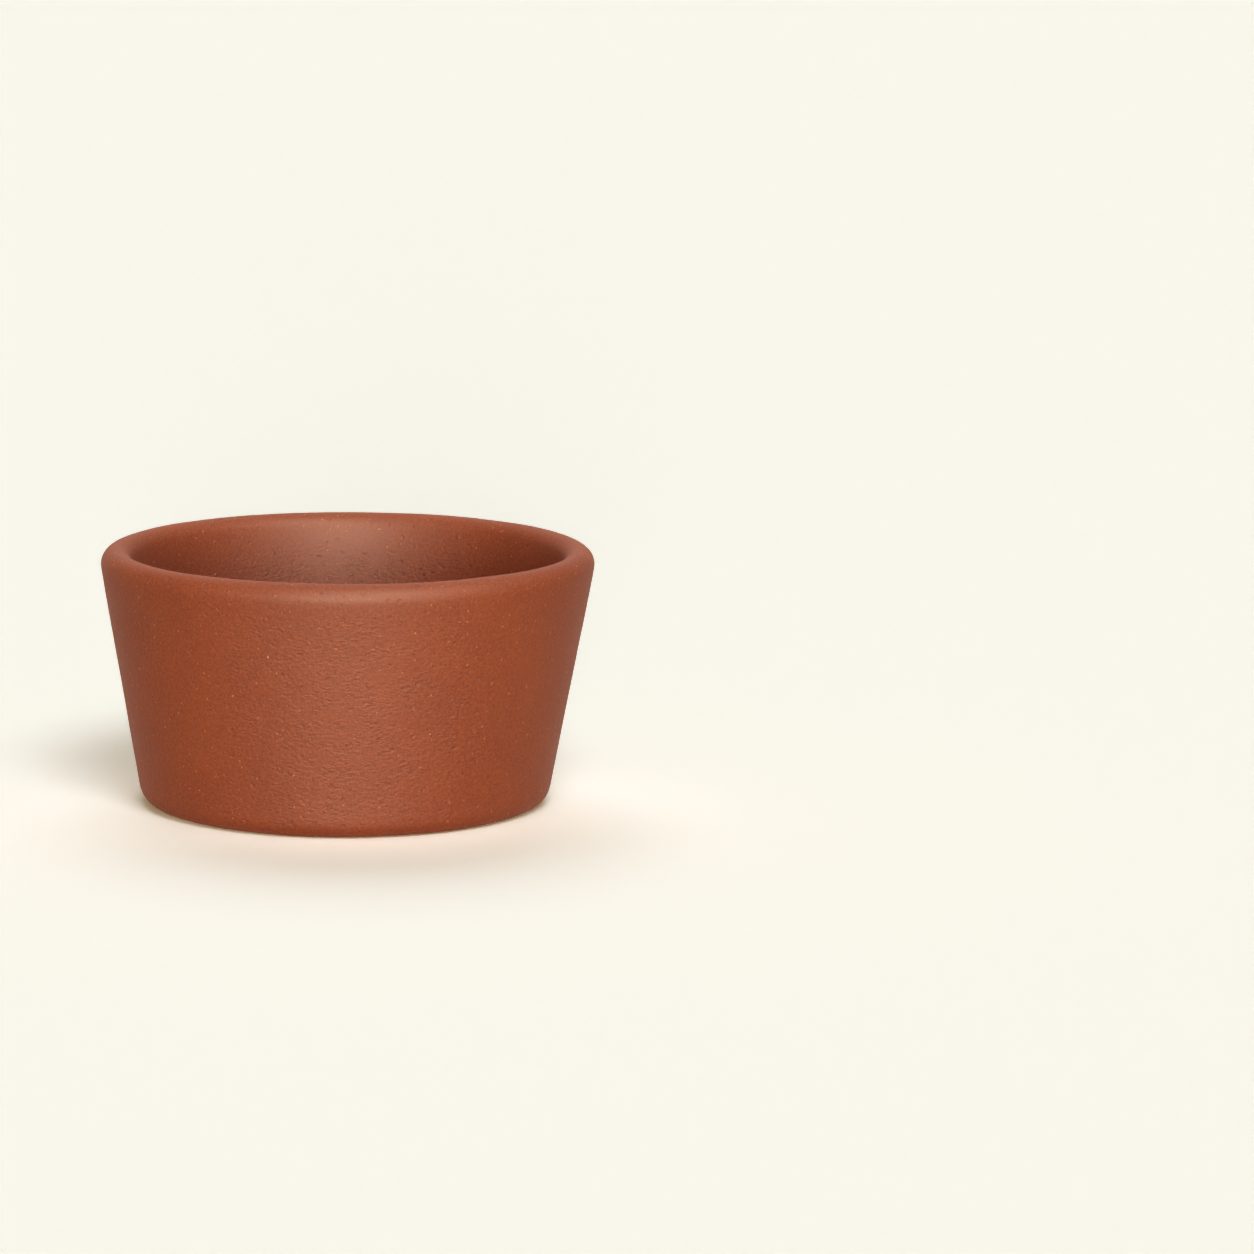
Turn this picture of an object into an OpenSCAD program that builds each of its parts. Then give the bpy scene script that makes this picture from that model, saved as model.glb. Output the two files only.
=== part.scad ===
// Handleless clay teacup, built the way a potter builds one from slabs: a tapered side wall,
// a base disc set inside the wall's foot, a layer of slip that bonds the two, and a coil of
// clay pressed into the inside corner. Millimetres, standing on z = 0, axis on z.

/* [Side wall] */
// Diameter of the cup across the outside of its rim
rim_d = 70; // [62:0.5:90]
// Height from the table to the top of the rim
height = 36.6; // [28:0.2:60]
// Diameter at table level, measured to the corner before it is rounded
foot_d = 57.7; // [50:0.1:68]
// Thickness of the side wall, which also sets the full round of the rim
wall_t = 4.4; // [3:0.1:6]
// Radius of the rounded edge between the wall and the table
foot_round = 3; // [1:0.1:4]

/* [Base] */
// Thickness of the base disc
floor_t = 4.2; // [3:0.1:8]
// Height of the base disc's underside above the table
floor_lift = 0.6; // [0.2:0.1:2]
// Thickness of the slip between the base disc and the wall
slip_t = 0.3; // [0.2:0.05:0.6]

/* [Seam coil] */
// How far the coil reaches along the floor and up the wall
coil_leg = 4; // [3:0.1:7]
// How deep the coil's hollow face dips below a straight bevel
coil_hollow = 0.7; // [0.2:0.05:0.75]

/* [Hidden] */
$fn = 144;

clay_color = [0.61, 0.30, 0.18];
slip_color = [0.50, 0.23, 0.13];

// The rim is a full round on top of the wall
rim_round = wall_t / 2;
rim_center = [rim_d / 2 - rim_round, height - rim_round];

// The outside line leaves the foot corner and just touches the rim's round
rim_run = rim_center[0] - foot_d / 2;
rim_rise = rim_center[1];
wall_slope = atan2(rim_run, rim_rise) + asin(rim_round / norm([rim_run, rim_rise]));
up_wall = [sin(wall_slope), cos(wall_slope)];
out_of_wall = [cos(wall_slope), -sin(wall_slope)];

function outside_r(z) = foot_d / 2 + z * tan(wall_slope);
function inside_r(z) = outside_r(z) - wall_t / cos(wall_slope);
function disc_r(z) = inside_r(z) - slip_t / cos(wall_slope);

// The rounded foot edge touches the table and the outside line
foot_center = [outside_r(foot_round) - foot_round / cos(wall_slope), foot_round];

floor_z = floor_lift + floor_t;

// The coil's hollow face is an arc from its toe on the floor to its top on the wall
coil_corner = [inside_r(floor_z), floor_z];
coil_toe = coil_corner - [coil_leg, 0];
coil_top = coil_corner + coil_leg * up_wall;
coil_half_chord = norm(coil_top - coil_toe) / 2;
coil_arc_r = (pow(coil_half_chord, 2) + pow(coil_hollow, 2)) / (2 * coil_hollow);
coil_chord_mid = (coil_toe + coil_top) / 2;
coil_inward = (coil_chord_mid - coil_corner) / norm(coil_chord_mid - coil_corner);
coil_arc_center = coil_chord_mid + (coil_arc_r - coil_hollow) * coil_inward;

// Quarter outside the foot's round, with room to spare, which the round leaves of the sharp corner
module foot_corner_waste() {
    reach = 2 * foot_round;
    difference() {
        polygon([
            foot_center,
            foot_center - [0, reach],
            foot_center + reach * (out_of_wall - [0, 1]),
            foot_center + reach * out_of_wall
        ]);
        translate(foot_center) circle(foot_round);
    }
}

module wall_section() {
    difference() {
        union() {
            polygon([
                [inside_r(0), 0],
                [foot_d / 2, 0],
                rim_center + rim_round * out_of_wall,
                rim_center - rim_round * out_of_wall
            ]);
            translate(rim_center) circle(rim_round);
        }
        foot_corner_waste();
    }
}

module side_wall() {
    color(clay_color) rotate_extrude() wall_section();
}

module base_disc() {
    color(clay_color)
        translate([0, 0, floor_lift])
            cylinder(h = floor_t, r1 = disc_r(floor_lift), r2 = disc_r(floor_z));
}

module luting_slip() {
    color(slip_color)
        rotate_extrude()
            polygon([
                [disc_r(floor_lift), floor_lift],
                [inside_r(floor_lift), floor_lift],
                [inside_r(floor_z), floor_z],
                [disc_r(floor_z), floor_z]
            ]);
}

module seam_coil() {
    color(clay_color)
        rotate_extrude()
            difference() {
                polygon([coil_toe, coil_corner, coil_top]);
                translate(coil_arc_center) circle(coil_arc_r);
            }
}

side_wall();
base_disc();
luting_slip();
seam_coil();
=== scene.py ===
"""A handleless clay teacup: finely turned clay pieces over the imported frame, in a plain studio.

Each clay piece stands for one node of the frame. All of them share one unglazed clay, whose
pattern lies in the frame's own axes, so it runs on from piece to piece. Metres throughout.
"""

import math

import bmesh
import bpy
from mathutils import Matrix, Vector, noise


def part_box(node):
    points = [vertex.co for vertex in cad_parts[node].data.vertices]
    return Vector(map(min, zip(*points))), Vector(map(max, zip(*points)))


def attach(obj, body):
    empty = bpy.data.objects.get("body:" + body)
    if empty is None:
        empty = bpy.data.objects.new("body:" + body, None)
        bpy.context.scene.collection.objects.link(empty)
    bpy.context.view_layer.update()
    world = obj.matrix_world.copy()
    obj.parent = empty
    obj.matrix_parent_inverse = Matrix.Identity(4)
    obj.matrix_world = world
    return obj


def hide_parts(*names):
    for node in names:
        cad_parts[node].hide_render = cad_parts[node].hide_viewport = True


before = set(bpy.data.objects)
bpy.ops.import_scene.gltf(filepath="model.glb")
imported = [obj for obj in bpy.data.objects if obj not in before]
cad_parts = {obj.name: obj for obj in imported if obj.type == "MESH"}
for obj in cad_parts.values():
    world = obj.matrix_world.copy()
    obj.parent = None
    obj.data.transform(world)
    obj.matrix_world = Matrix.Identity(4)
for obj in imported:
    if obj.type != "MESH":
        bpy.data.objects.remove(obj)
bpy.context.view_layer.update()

MM = 0.001

# Sizes that the frame's boxes give
wall_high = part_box("side_wall")[1]
disc_low, disc_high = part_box("base_disc")
slip_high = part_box("luting_slip")[1]
coil_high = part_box("seam_coil")[1]
height = wall_high.z
rim_r = wall_high.x
floor_lift = disc_low.z
floor_z = disc_high.z
slope = math.atan2(coil_high.x - slip_high.x, coil_high.z - floor_z)

# Sizes that the boxes don't give
WALL_T = 4.4 * MM
FOOT_ROUND = 3.0 * MM
FOOT_INNER_ROUND = 0.5 * MM
DISC_EDGE_ROUND = 0.5 * MM
COIL_TUCK = 0.6 * MM
PIECE_OVERLAP = 0.3 * MM
SLIP_BEAD = 0.18 * MM

# Fineness of the turned meshes
TURN_STEPS = 420
SECTION_STEP = 0.55 * MM
ARC_STEP = math.radians(7)
SOFTENING = 2

# Unevenness of hand work
LEAN = 0.4 * MM
OVAL = 0.002
OVAL_TURN = math.radians(35)
SOFT_WAVE_SIZE = 11 * MM
SOFT_WAVE_DEPTH = 0.07 * MM
FINE_WAVE_SIZE = 3.2 * MM
FINE_WAVE_DEPTH = 0.012 * MM

# Noise: the value that it lies about, its count of finer layers and how much weaker each layer is
MIDDLE = 0.5
NOISE_DETAIL = 3
NOISE_FALL = 0.55

# The clay's pattern, in millimetres on the cup
PATCH_SIZE = 14
WORKED_SIZE = 2.4
WORKED_RANGE = (0.22, 0.78)
WIPED_DEPTHS = (2.5, 7)
GRAIN_SIZE = 0.36
DRAG_SIZE = 0.7
DRAG_STRETCH = (1, 1, 1.8)
GROG_GRAINS = {"spacing": 1.2, "radius": 0.17}
DUST_GRAINS = {"spacing": 0.7, "radius": 0.1}
PIT_GRAINS = {"spacing": 1.5, "radius": 0.17}
DENT_GRAINS = {"spacing": 1.7, "radius": 0.4}
DENT_SHIFT = (31, 17, 9)
GRAIN_CORE = 0.5
BEND_SIZE = 0.35
BEND_REACH = 0.7
BEND_DETAIL = 1
RELIEF = 0.31

# How strongly the clay shows its parts
TONE_RANGE = (0.33, 0.67)
GRAIN_IN_TONE = 0.78
GRAIN_IN_RELIEF = 0.3
GROG_SHARE = 0.9
DUST_SHARE = 0.5
PIT_DEPTH = 0.22
DENT_DEPTH = 0.28
SMOOTHEST = 0.58
ROUGHEST = 0.72
GLOSS = 0.35
GLOSS_TINT = (1.0, 0.8, 0.62, 1.0)

# Camera, fitted to the photograph
CAMERA_PLACE = Vector((0.0, -0.8671, 0.1733))
CAMERA_AIM = Vector((0.0399, 0.0, 0.0251))
CAMERA_ROLL = math.radians(0.52)
CAMERA_LENS = 177.3

# Studio. A lamp's strength is the light it gives a surface facing it, where 1 shows a colour as written
FLOOR_SIZE = 12.0
FLOOR_BOUNCE = 0.66
FLOOR_GLOW = (0.19, 0.14, 0.06)
FILL = 0.03
FRONT = {"strength": 0.38, "turn": -2, "rise": 4.5, "spread": 9}
KEY = {"strength": 0.46, "turn": 12, "rise": 45, "spread": 25}
BACK = {"strength": 0.29, "turn": 184, "rise": 54, "spread": 40}
FRONT_SHEEN = {"strength": 3.2, "turn": 1, "rise": 8, "spread": 14}
KEY_SHEEN = {"strength": 2.2, "turn": 24, "rise": 52, "spread": 8}


def srgb(red, green, blue):
    """A colour as a screen shows it, 0 to 255, turned into the linear values that shaders use."""
    def linear(level):
        share = level / 255
        return share / 12.92 if share <= 0.04045 else ((share + 0.055) / 1.055) ** 2.4
    return (linear(red), linear(green), linear(blue), 1.0)


CLAY_DARK = srgb(140, 52, 10)
CLAY_LIGHT = srgb(167, 70, 19)
GROG = srgb(226, 138, 82)
# Painted shade for the small pits, which is also the dried slip's own dark colour
PIT_SHADE_AND_SLIP_DARK = srgb(92, 38, 20)
BACKDROP = srgb(249, 246.5, 235)


# Sections of the clay pieces, as loops of radius and height


def up_wall(distance):
    return Vector((math.sin(slope), math.cos(slope))) * distance


def out_of_wall(distance):
    return Vector((math.cos(slope), -math.sin(slope))) * distance


def inside_r(z):
    return slip_high.x + (z - floor_z) * math.tan(slope)


def outside_r(z):
    return inside_r(z) + WALL_T / math.cos(slope)


def arc(center, radius, start, end):
    """Points on a circle from one angle to another, both ends among them."""
    steps = max(2, math.ceil(abs(end - start) / ARC_STEP))
    angles = [start + (end - start) * i / steps for i in range(steps + 1)]
    return [center + Vector((math.cos(a), math.sin(a))) * radius for a in angles]


def fine_loop(corners):
    """The loop with its long straight stretches cut into short steps."""
    points = []
    for start, end in zip(corners, corners[1:] + corners[:1]):
        steps = max(1, round((end - start).length / SECTION_STEP))
        points += [start.lerp(end, i / steps) for i in range(steps)]
    return points


def softened(points):
    """The loop with its turns eased, since a wet hand leaves no sharp change of curve."""
    for _ in range(SOFTENING):
        around = zip(points[-1:] + points[:-1], points, points[1:] + points[:1])
        points = [(before + after) / 4 + point / 2 for before, point, after in around]
    return points


def side_wall_section():
    rim_round = WALL_T / 2
    rim_center = Vector((rim_r - rim_round, height - rim_round))
    foot_center = Vector((outside_r(FOOT_ROUND) - FOOT_ROUND / math.cos(slope), FOOT_ROUND))
    inner_x = inside_r(FOOT_INNER_ROUND) + FOOT_INNER_ROUND / math.cos(slope)
    inner_center = Vector((inner_x, FOOT_INNER_ROUND))
    return (
        arc(inner_center, FOOT_INNER_ROUND, math.pi - slope, 1.5 * math.pi)
        + arc(foot_center, FOOT_ROUND, -0.5 * math.pi, -slope)
        + arc(rim_center, rim_round, -slope, math.pi - slope)
    )


def base_disc_section():
    under_r = inside_r(floor_lift)
    edge_center = Vector((under_r - DISC_EDGE_ROUND, floor_lift + DISC_EDGE_ROUND))
    return (
        [Vector((0, floor_lift))]
        + arc(edge_center, DISC_EDGE_ROUND, -0.5 * math.pi, -slope)
        + [Vector((inside_r(floor_z), floor_z)), Vector((0, floor_z))]
    )


def luting_slip_section():
    """A thin ring whose squeezed-out bead shows in the groove on the underside."""
    groove = Vector((inside_r(floor_lift), floor_lift + SLIP_BEAD))
    inner_top = Vector((disc_high.x, floor_z - PIECE_OVERLAP))
    outer_top = Vector((inside_r(floor_z) + PIECE_OVERLAP, floor_z - PIECE_OVERLAP))
    return arc(groove, 2 * SLIP_BEAD, math.pi, 2 * math.pi) + [outer_top, inner_top]


def seam_coil_section():
    """A hollow round that runs out into the floor and the wall, and tucks its edges under both."""
    leg = (coil_high.z - floor_z) / math.cos(slope)
    corner = Vector((inside_r(floor_z), floor_z))
    toe = corner - Vector((leg, 0))
    top = corner + up_wall(leg)
    hollow_r = leg * math.tan(math.pi / 4 + slope / 2)
    face = arc(toe + Vector((0, hollow_r)), hollow_r, -slope, -0.5 * math.pi)
    tucked_toe = toe - Vector((COIL_TUCK, PIECE_OVERLAP))
    tucked_top = top + up_wall(COIL_TUCK) + out_of_wall(PIECE_OVERLAP)
    tucked_corner = corner + Vector((PIECE_OVERLAP, -PIECE_OVERLAP))
    return [tucked_top] + face + [tucked_toe, tucked_corner]


# Turned meshes


def ring_of(vertices, point):
    """Adds one turn of a section's point, and gives the numbers of its vertices."""
    first = len(vertices)
    if point.x == 0:
        vertices.append((0, 0, point.y))
        return [first] * TURN_STEPS
    for i in range(TURN_STEPS):
        angle = math.tau * i / TURN_STEPS
        vertices.append((point.x * math.cos(angle), point.x * math.sin(angle), point.y))
    return list(range(first, first + TURN_STEPS))


def band_between(lower, upper):
    """The faces between two rings, triangles where a ring is a single point."""
    faces = []
    for i in range(TURN_STEPS):
        j = (i + 1) % TURN_STEPS
        corners = list(dict.fromkeys((lower[i], lower[j], upper[j], upper[i])))
        if len(corners) > 2:
            faces.append(corners)
    return faces


def uneven(point, normal):
    """Moves a point of a true turned form to where a hand left it."""
    wave = noise.noise(point / SOFT_WAVE_SIZE) * SOFT_WAVE_DEPTH
    wave += noise.noise(point / FINE_WAVE_SIZE) * FINE_WAVE_DEPTH
    moved = point + normal * wave
    stretch = 1 + OVAL * math.cos(2 * (math.atan2(point.y, point.x) - OVAL_TURN))
    moved.x = moved.x * stretch + LEAN * (point.z / height - 0.5)
    moved.y = moved.y * stretch
    moved.z = max(moved.z, 0)
    return moved


def turned_piece(name, section, material):
    """A closed clay piece that stands for the frame's node of that name."""
    vertices = []
    rings = [ring_of(vertices, point) for point in section]
    faces = []
    for lower, upper in zip(rings, rings[1:] + rings[:1]):
        faces += band_between(lower, upper)
    mesh = bpy.data.meshes.new(name)
    mesh.from_pydata(vertices, [], faces)
    made = bmesh.new()
    made.from_mesh(mesh)
    bmesh.ops.recalc_face_normals(made, faces=made.faces)
    made.normal_update()
    places = [uneven(vertex.co, vertex.normal) for vertex in made.verts]
    for vertex, place in zip(made.verts, places):
        vertex.co = place
    made.to_mesh(mesh)
    made.free()
    mesh.shade_smooth()
    mesh.materials.append(material)
    piece = bpy.data.objects.new("clay_" + name, mesh)
    bpy.context.collection.objects.link(piece)
    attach(piece, "root")
    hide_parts(name)
    return piece


# Shaders


def add_node(tree, kind, inputs, **settings):
    """Adds a node. Each input is a plain value or the output that feeds it."""
    made = tree.nodes.new(kind)
    for name, value in settings.items():
        setattr(made, name, value)
    for key, value in inputs.items():
        if isinstance(value, bpy.types.NodeSocket):
            tree.links.new(value, made.inputs[key])
        else:
            made.inputs[key].default_value = value
    return made


def math_node(tree, operation, first, second):
    return add_node(tree, "ShaderNodeMath", {0: first, 1: second}, operation=operation).outputs[0]


def vector_node(tree, operation, inputs):
    return add_node(tree, "ShaderNodeVectorMath", inputs, operation=operation).outputs[0]


def mix_colors(tree, share, first, second):
    mixed = add_node(tree, "ShaderNodeMix", {0: share, 6: first, 7: second}, data_type="RGBA")
    return mixed.outputs[2]


def ramp(tree, value, start, end):
    """Goes smoothly from 0 where the value is at start to 1 where it is at end."""
    inputs = {"Value": value, "From Min": start, "From Max": end}
    return add_node(tree, "ShaderNodeMapRange", inputs, interpolation_type="SMOOTHSTEP").outputs[0]


def place_in_mm(tree, stretch=(1, 1, 1), offset=(0, 0, 0)):
    """Where a point lies on the cup, in millimetres, so that pattern sizes are real sizes."""
    coordinates = add_node(tree, "ShaderNodeTexCoord", {}).outputs["Object"]
    scale = [share / MM for share in stretch]
    return add_node(
        tree, "ShaderNodeMapping", {"Vector": coordinates, "Location": offset, "Scale": scale}
    ).outputs[0]


def cloudy(tree, place, size):
    """Soft noise from 0 to 1 with patches of about that size, in millimetres."""
    inputs = {"Vector": place, "Scale": 1 / size, "Detail": NOISE_DETAIL, "Roughness": NOISE_FALL}
    return add_node(tree, "ShaderNodeTexNoise", inputs).outputs["Fac"]


def bend(tree, place):
    """The place pushed about a little by noise, so that what is laid there comes out irregular."""
    inputs = {"Vector": place, "Scale": 1 / BEND_SIZE, "Detail": BEND_DETAIL}
    cloud = add_node(tree, "ShaderNodeTexNoise", inputs).outputs["Color"]
    away = vector_node(tree, "SUBTRACT", {0: cloud, 1: (MIDDLE, MIDDLE, MIDDLE)})
    push = vector_node(tree, "SCALE", {0: away, "Scale": BEND_REACH})
    return vector_node(tree, "ADD", {0: place, 1: push})


def grains(tree, place, spacing, radius):
    """A mask of small grains lying in the clay, each as wide as the surface happens to cut it."""
    cells = add_node(tree, "ShaderNodeTexVoronoi", {"Vector": place, "Scale": 1 / spacing})
    edge = radius / spacing
    mask = ramp(tree, cells.outputs["Distance"], edge, GRAIN_CORE * edge)
    pick = add_node(tree, "ShaderNodeSeparateColor", {"Color": cells.outputs["Color"]})
    return math_node(tree, "MULTIPLY", mask, pick.outputs["Red"])


def below_rim(tree, place, start, end):
    """0 at the rim and 1 on the wall, changing between two depths below the top, in millimetres."""
    level = add_node(tree, "ShaderNodeSeparateXYZ", {"Vector": place}).outputs["Z"]
    top = height / MM
    return ramp(tree, level, top - start, top - end)


def weigh(tree, first, second, share):
    """The sum of two values, the second with the given share of the weight."""
    return math_node(
        tree,
        "ADD",
        math_node(tree, "MULTIPLY", first, 1 - share),
        math_node(tree, "MULTIPLY", second, share),
    )


def clay_material(name, dark, light):
    """Unglazed clay: mottled, with pale grog, small pits darkened by painted shade, and wrinkles that
    stop below the wiped rim.
    """
    material = bpy.data.materials.new(name)
    material.use_nodes = True
    tree = material.node_tree
    tree.nodes.clear()
    place = place_in_mm(tree)
    dragged = place_in_mm(tree, stretch=DRAG_STRETCH)
    bent = bend(tree, place)
    bent_apart = bend(tree, place_in_mm(tree, offset=DENT_SHIFT))

    patches = cloudy(tree, place, PATCH_SIZE)
    worked = ramp(tree, cloudy(tree, place, WORKED_SIZE), *WORKED_RANGE)
    unwiped = below_rim(tree, place, *WIPED_DEPTHS)
    grain = cloudy(tree, place, GRAIN_SIZE)
    drags = cloudy(tree, dragged, DRAG_SIZE)
    grog = grains(tree, bent, **GROG_GRAINS)
    dust = grains(tree, bent, **DUST_GRAINS)
    pits = grains(tree, bent, **PIT_GRAINS)
    dents = grains(tree, bent_apart, **DENT_GRAINS)

    tone = weigh(tree, patches, grain, GRAIN_IN_TONE)
    color = mix_colors(tree, ramp(tree, tone, *TONE_RANGE), dark, light)
    color = mix_colors(tree, math_node(tree, "MULTIPLY", dust, DUST_SHARE), color, GROG)
    color = mix_colors(tree, math_node(tree, "MULTIPLY", grog, GROG_SHARE), color, GROG)
    # Painted shade: the pits are darkened in colour, standing in for the shade inside them
    color = mix_colors(tree, pits, color, PIT_SHADE_AND_SLIP_DARK)

    wrinkles = math_node(tree, "SUBTRACT", weigh(tree, drags, grain, GRAIN_IN_RELIEF), MIDDLE)
    relief = math_node(tree, "MULTIPLY", wrinkles, math_node(tree, "MULTIPLY", worked, unwiped))
    relief = math_node(tree, "SUBTRACT", relief, math_node(tree, "MULTIPLY", pits, PIT_DEPTH))
    relief = math_node(tree, "SUBTRACT", relief, math_node(tree, "MULTIPLY", dents, DENT_DEPTH))
    bump = add_node(tree, "ShaderNodeBump", {"Height": relief, "Strength": 1.0, "Distance": RELIEF * MM})
    roughness = {"Value": grain, "To Min": SMOOTHEST, "To Max": ROUGHEST}
    rough = add_node(tree, "ShaderNodeMapRange", roughness).outputs[0]
    surface = add_node(
        tree,
        "ShaderNodeBsdfPrincipled",
        {
            "Base Color": color,
            "Roughness": rough,
            "Normal": bump.outputs[0],
            "Specular IOR Level": GLOSS,
            "Specular Tint": GLOSS_TINT,
        },
    )
    add_node(tree, "ShaderNodeOutputMaterial", {"Surface": surface.outputs[0]})
    return material


def shown_rays(tree):
    """1 for the rays that show a backdrop, straight or mirrored, and 0 for those that only light."""
    path = add_node(tree, "ShaderNodeLightPath", {})
    shown = math_node(tree, "MAXIMUM", path.outputs["Is Camera Ray"], path.outputs["Is Glossy Ray"])
    return math_node(tree, "MAXIMUM", shown, path.outputs["Is Transmission Ray"])


def floor_material():
    """Pale floor that bounces light like paper, and glows for shown rays where the lamps leave it dim."""
    material = bpy.data.materials.new("pale_floor")
    material.use_nodes = True
    tree = material.node_tree
    tree.nodes.clear()
    lit = FILL + sum(
        lamp["strength"] * math.sin(math.radians(lamp["rise"])) for lamp in (FRONT, KEY, BACK)
    )
    cream = BACKDROP[:3]
    bounce_color = [level * FLOOR_BOUNCE for level in cream] + [1]
    paper_color = [level * (1 - share) / lit for level, share in zip(cream, FLOOR_GLOW)] + [1]
    glow_color = [level * share for level, share in zip(cream, FLOOR_GLOW)] + [1]
    bounce = add_node(tree, "ShaderNodeBsdfDiffuse", {"Color": bounce_color})
    paper = add_node(tree, "ShaderNodeBsdfDiffuse", {"Color": paper_color})
    glow = add_node(tree, "ShaderNodeEmission", {"Color": glow_color, "Strength": 1.0})
    seen = add_node(tree, "ShaderNodeAddShader", {0: paper.outputs[0], 1: glow.outputs[0]})
    both = add_node(
        tree, "ShaderNodeMixShader", {0: shown_rays(tree), 1: bounce.outputs[0], 2: seen.outputs[0]}
    )
    add_node(tree, "ShaderNodeOutputMaterial", {"Surface": both.outputs[0]})
    return material


# Studio


def make_floor():
    mesh = bpy.data.meshes.new("floor")
    half = FLOOR_SIZE / 2
    corners = [(-half, -half, 0), (half, -half, 0), (half, half, 0), (-half, half, 0)]
    mesh.from_pydata(corners, [], [(0, 1, 2, 3)])
    mesh.materials.append(floor_material())
    floor = bpy.data.objects.new("floor", mesh)
    bpy.context.collection.objects.link(floor)


def make_world():
    world = bpy.data.worlds.new("studio")
    world.use_nodes = True
    tree = world.node_tree
    tree.nodes.clear()
    fill = add_node(tree, "ShaderNodeBackground", {"Color": (1, 1, 1, 1), "Strength": FILL})
    backdrop = add_node(tree, "ShaderNodeBackground", {"Color": BACKDROP, "Strength": 1.0})
    both = add_node(
        tree, "ShaderNodeMixShader", {0: shown_rays(tree), 1: fill.outputs[0], 2: backdrop.outputs[0]}
    )
    add_node(tree, "ShaderNodeOutputWorld", {"Surface": both.outputs[0]})
    bpy.context.scene.world = world


def make_lamp(name, strength, turn, rise, spread):
    """A wide far lamp, turned from the front towards the right and raised above the floor, in degrees."""
    light = bpy.data.lights.new(name, "SUN")
    light.energy = strength * math.pi
    light.angle = math.radians(spread)
    lamp = bpy.data.objects.new(name, light)
    side = math.radians(turn)
    up = math.radians(rise)
    towards = Vector((
        math.sin(side) * math.cos(up),
        -math.cos(side) * math.cos(up),
        math.sin(up),
    ))
    lamp.location = towards
    lamp.rotation_euler = towards.to_track_quat("Z", "Y").to_euler()
    bpy.context.collection.objects.link(lamp)
    return lamp


def make_sheen(name, **lamp):
    """A lamp that shows only as a sheen on the clay, as a bright card beside the camera does."""
    make_lamp(name, **lamp).visible_diffuse = False


def make_camera():
    camera = bpy.data.objects.new("camera", bpy.data.cameras.new("camera"))
    camera.data.lens = CAMERA_LENS
    camera.location = CAMERA_PLACE
    aim = (CAMERA_AIM - CAMERA_PLACE).to_track_quat("-Z", "Y").to_matrix()
    camera.rotation_euler = (aim @ Matrix.Rotation(CAMERA_ROLL, 3, "Z")).to_euler()
    camera.data.clip_end = 2 * FLOOR_SIZE
    bpy.context.collection.objects.link(camera)
    bpy.context.scene.camera = camera


clay = clay_material("red_clay", CLAY_DARK, CLAY_LIGHT)
slip = clay_material("dried_slip", PIT_SHADE_AND_SLIP_DARK, CLAY_DARK)
turned_piece("side_wall", softened(fine_loop(side_wall_section())), clay)
turned_piece("base_disc", fine_loop(base_disc_section()), clay)
turned_piece("luting_slip", fine_loop(luting_slip_section()), slip)
turned_piece("seam_coil", fine_loop(seam_coil_section()), clay)

make_floor()
make_world()
make_lamp("front_lamp", **FRONT)
make_lamp("key_lamp", **KEY)
make_lamp("back_lamp", **BACK)
make_sheen("front_sheen", **FRONT_SHEEN)
make_sheen("key_sheen", **KEY_SHEEN)
make_camera()
bpy.context.scene.view_settings.view_transform = "Standard"
